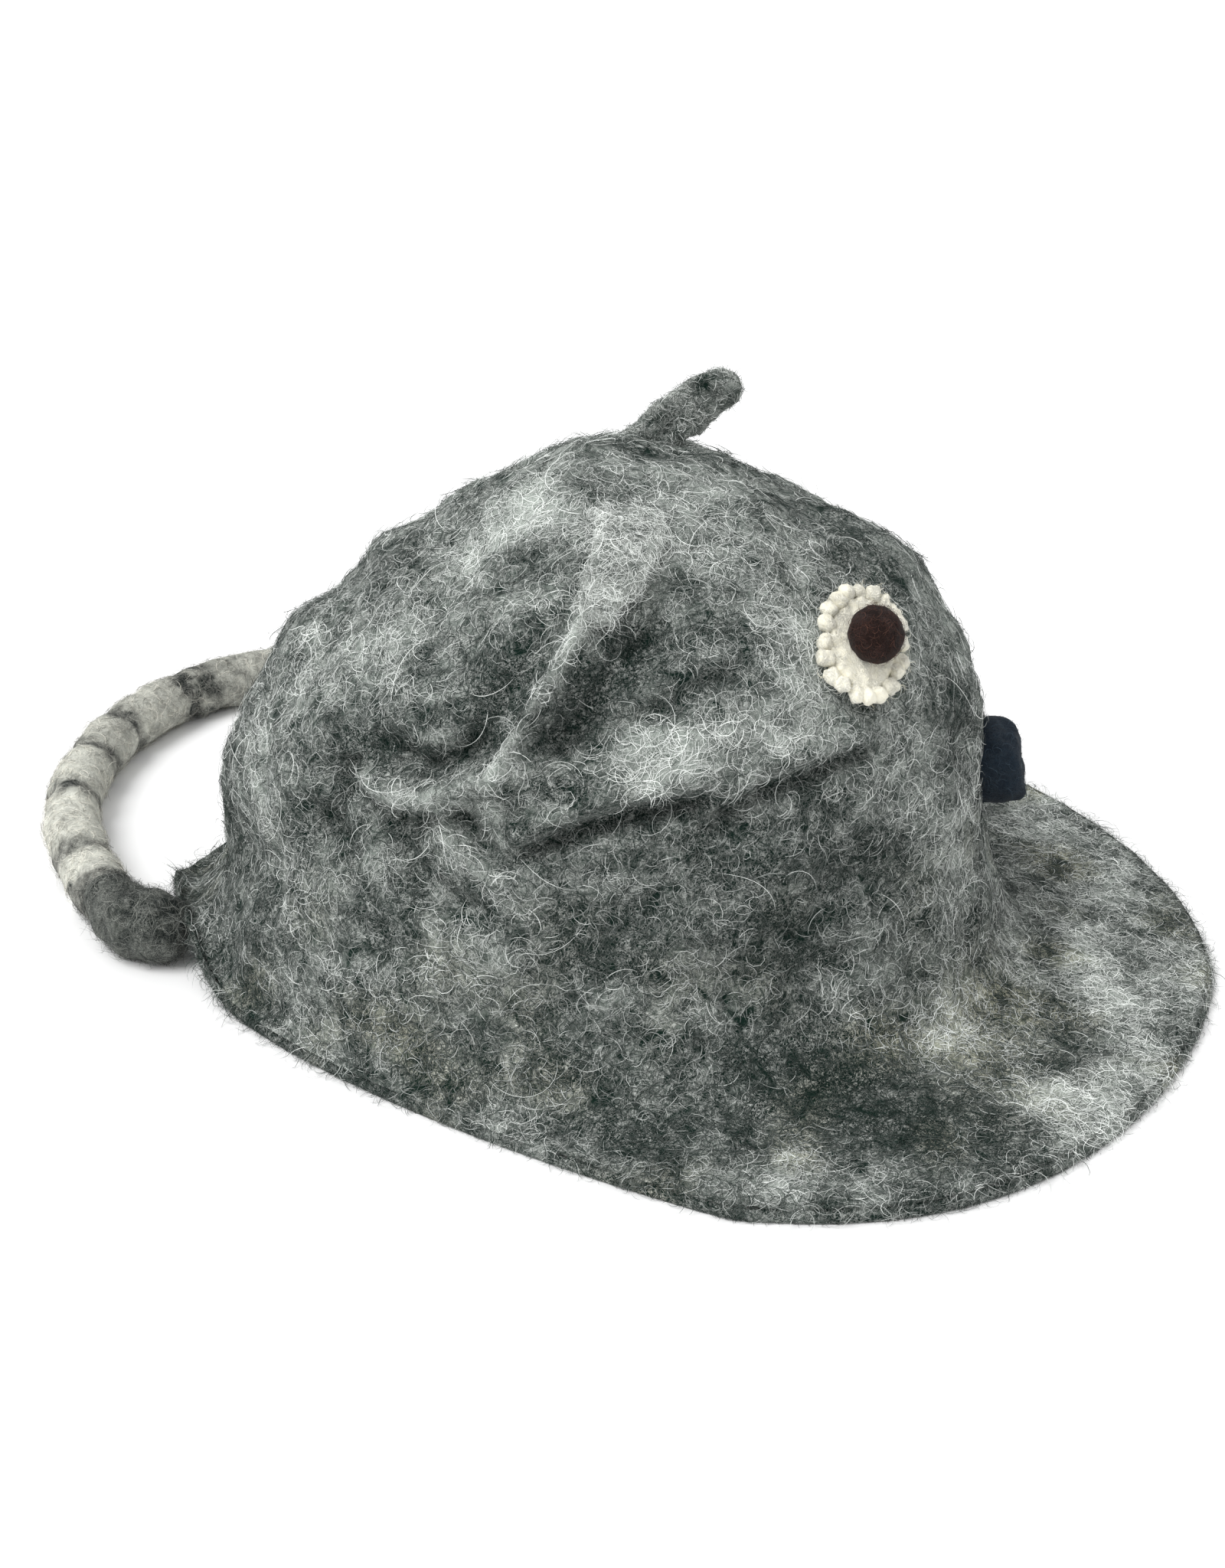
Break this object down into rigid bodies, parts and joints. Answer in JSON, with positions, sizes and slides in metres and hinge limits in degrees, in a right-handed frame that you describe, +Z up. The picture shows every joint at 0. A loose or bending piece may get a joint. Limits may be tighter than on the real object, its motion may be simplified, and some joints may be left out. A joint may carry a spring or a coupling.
{
  "type": "felt animal hat",
  "caption": "Wool-felt hat shaped as a grey long-tailed rodent: domed crown on a wide visor brim, tongue ears, bobble-edged eyes, button nose and a banded rope tail.",
  "frame": {"origin": "on the table, under the middle of the hat's brim, the tail left out", "axes": "+Z up, the nose and visor towards -Y, the wearer's left towards +X"},
  "size_m": [0.295, 0.3465, 0.1556],
  "materials": {
    "grey_felt": "mottled grey wet-felted wool with pale fibres",
    "ear_felt": "mottled grey felt, paler at the rim",
    "ivory_wool": "ivory wool, bobbled",
    "pupil_felt": "dense dark brown felt ball",
    "nose_felt": "dense navy felt",
    "tail_felt": "warm light grey felt rope with dark bands",
    "tail_dark_felt": "dark grey felt",
    "sewing_thread": "dark sewing thread"
  },
  "bodies": {
    "hat": {"crown": "grey_felt", "eye_disc_left": "ivory_wool", "eye_trim_left": "ivory_wool", "pupil_left": "pupil_felt", "eye_thread_left": "sewing_thread", "eye_disc_right": "ivory_wool", "eye_trim_right": "ivory_wool", "pupil_right": "pupil_felt", "eye_thread_right": "sewing_thread", "nose": "nose_felt", "nose_thread": "sewing_thread"},
    "visor": {"visor": "grey_felt"},
    "ear_left": {"ear_left": "ear_felt"},
    "ear_right": {"ear_right": "ear_felt"},
    "tail_root": {"tail_root": "tail_dark_felt"},
    "tail": {"tail": "tail_felt"}
  },
  "joints": [
    {"name": "visor_fold", "type": "hinge", "parent": "hat", "child": "visor", "pos_m": [0, -0.096, 0.0045], "axis": [-1, 0, 0], "range_deg": [0, 45]},
    {"name": "ear_left_flop", "type": "hinge", "parent": "hat", "child": "ear_left", "pos_m": [0.03, 0.0075, 0.13865], "axis": [0, 1, 0], "range_deg": [-40, 70]},
    {"name": "ear_right_raise", "type": "hinge", "parent": "hat", "child": "ear_right", "pos_m": [-0.03, 0.013, 0.13965], "axis": [0, 1, 0], "range_deg": [0, 110]},
    {"name": "tail_lift", "type": "hinge", "parent": "hat", "child": "tail_root", "pos_m": [-0.027, 0.1495, 0.0096], "axis": [0.4695, -0.8829, 0], "range_deg": [0, 35]},
    {"name": "tail_swing", "type": "hinge", "parent": "tail_root", "child": "tail", "pos_m": [-0.0136, 0.1602, 0.0086], "axis": [0, 0, 1], "range_deg": [-4, 45]}
  ]
}
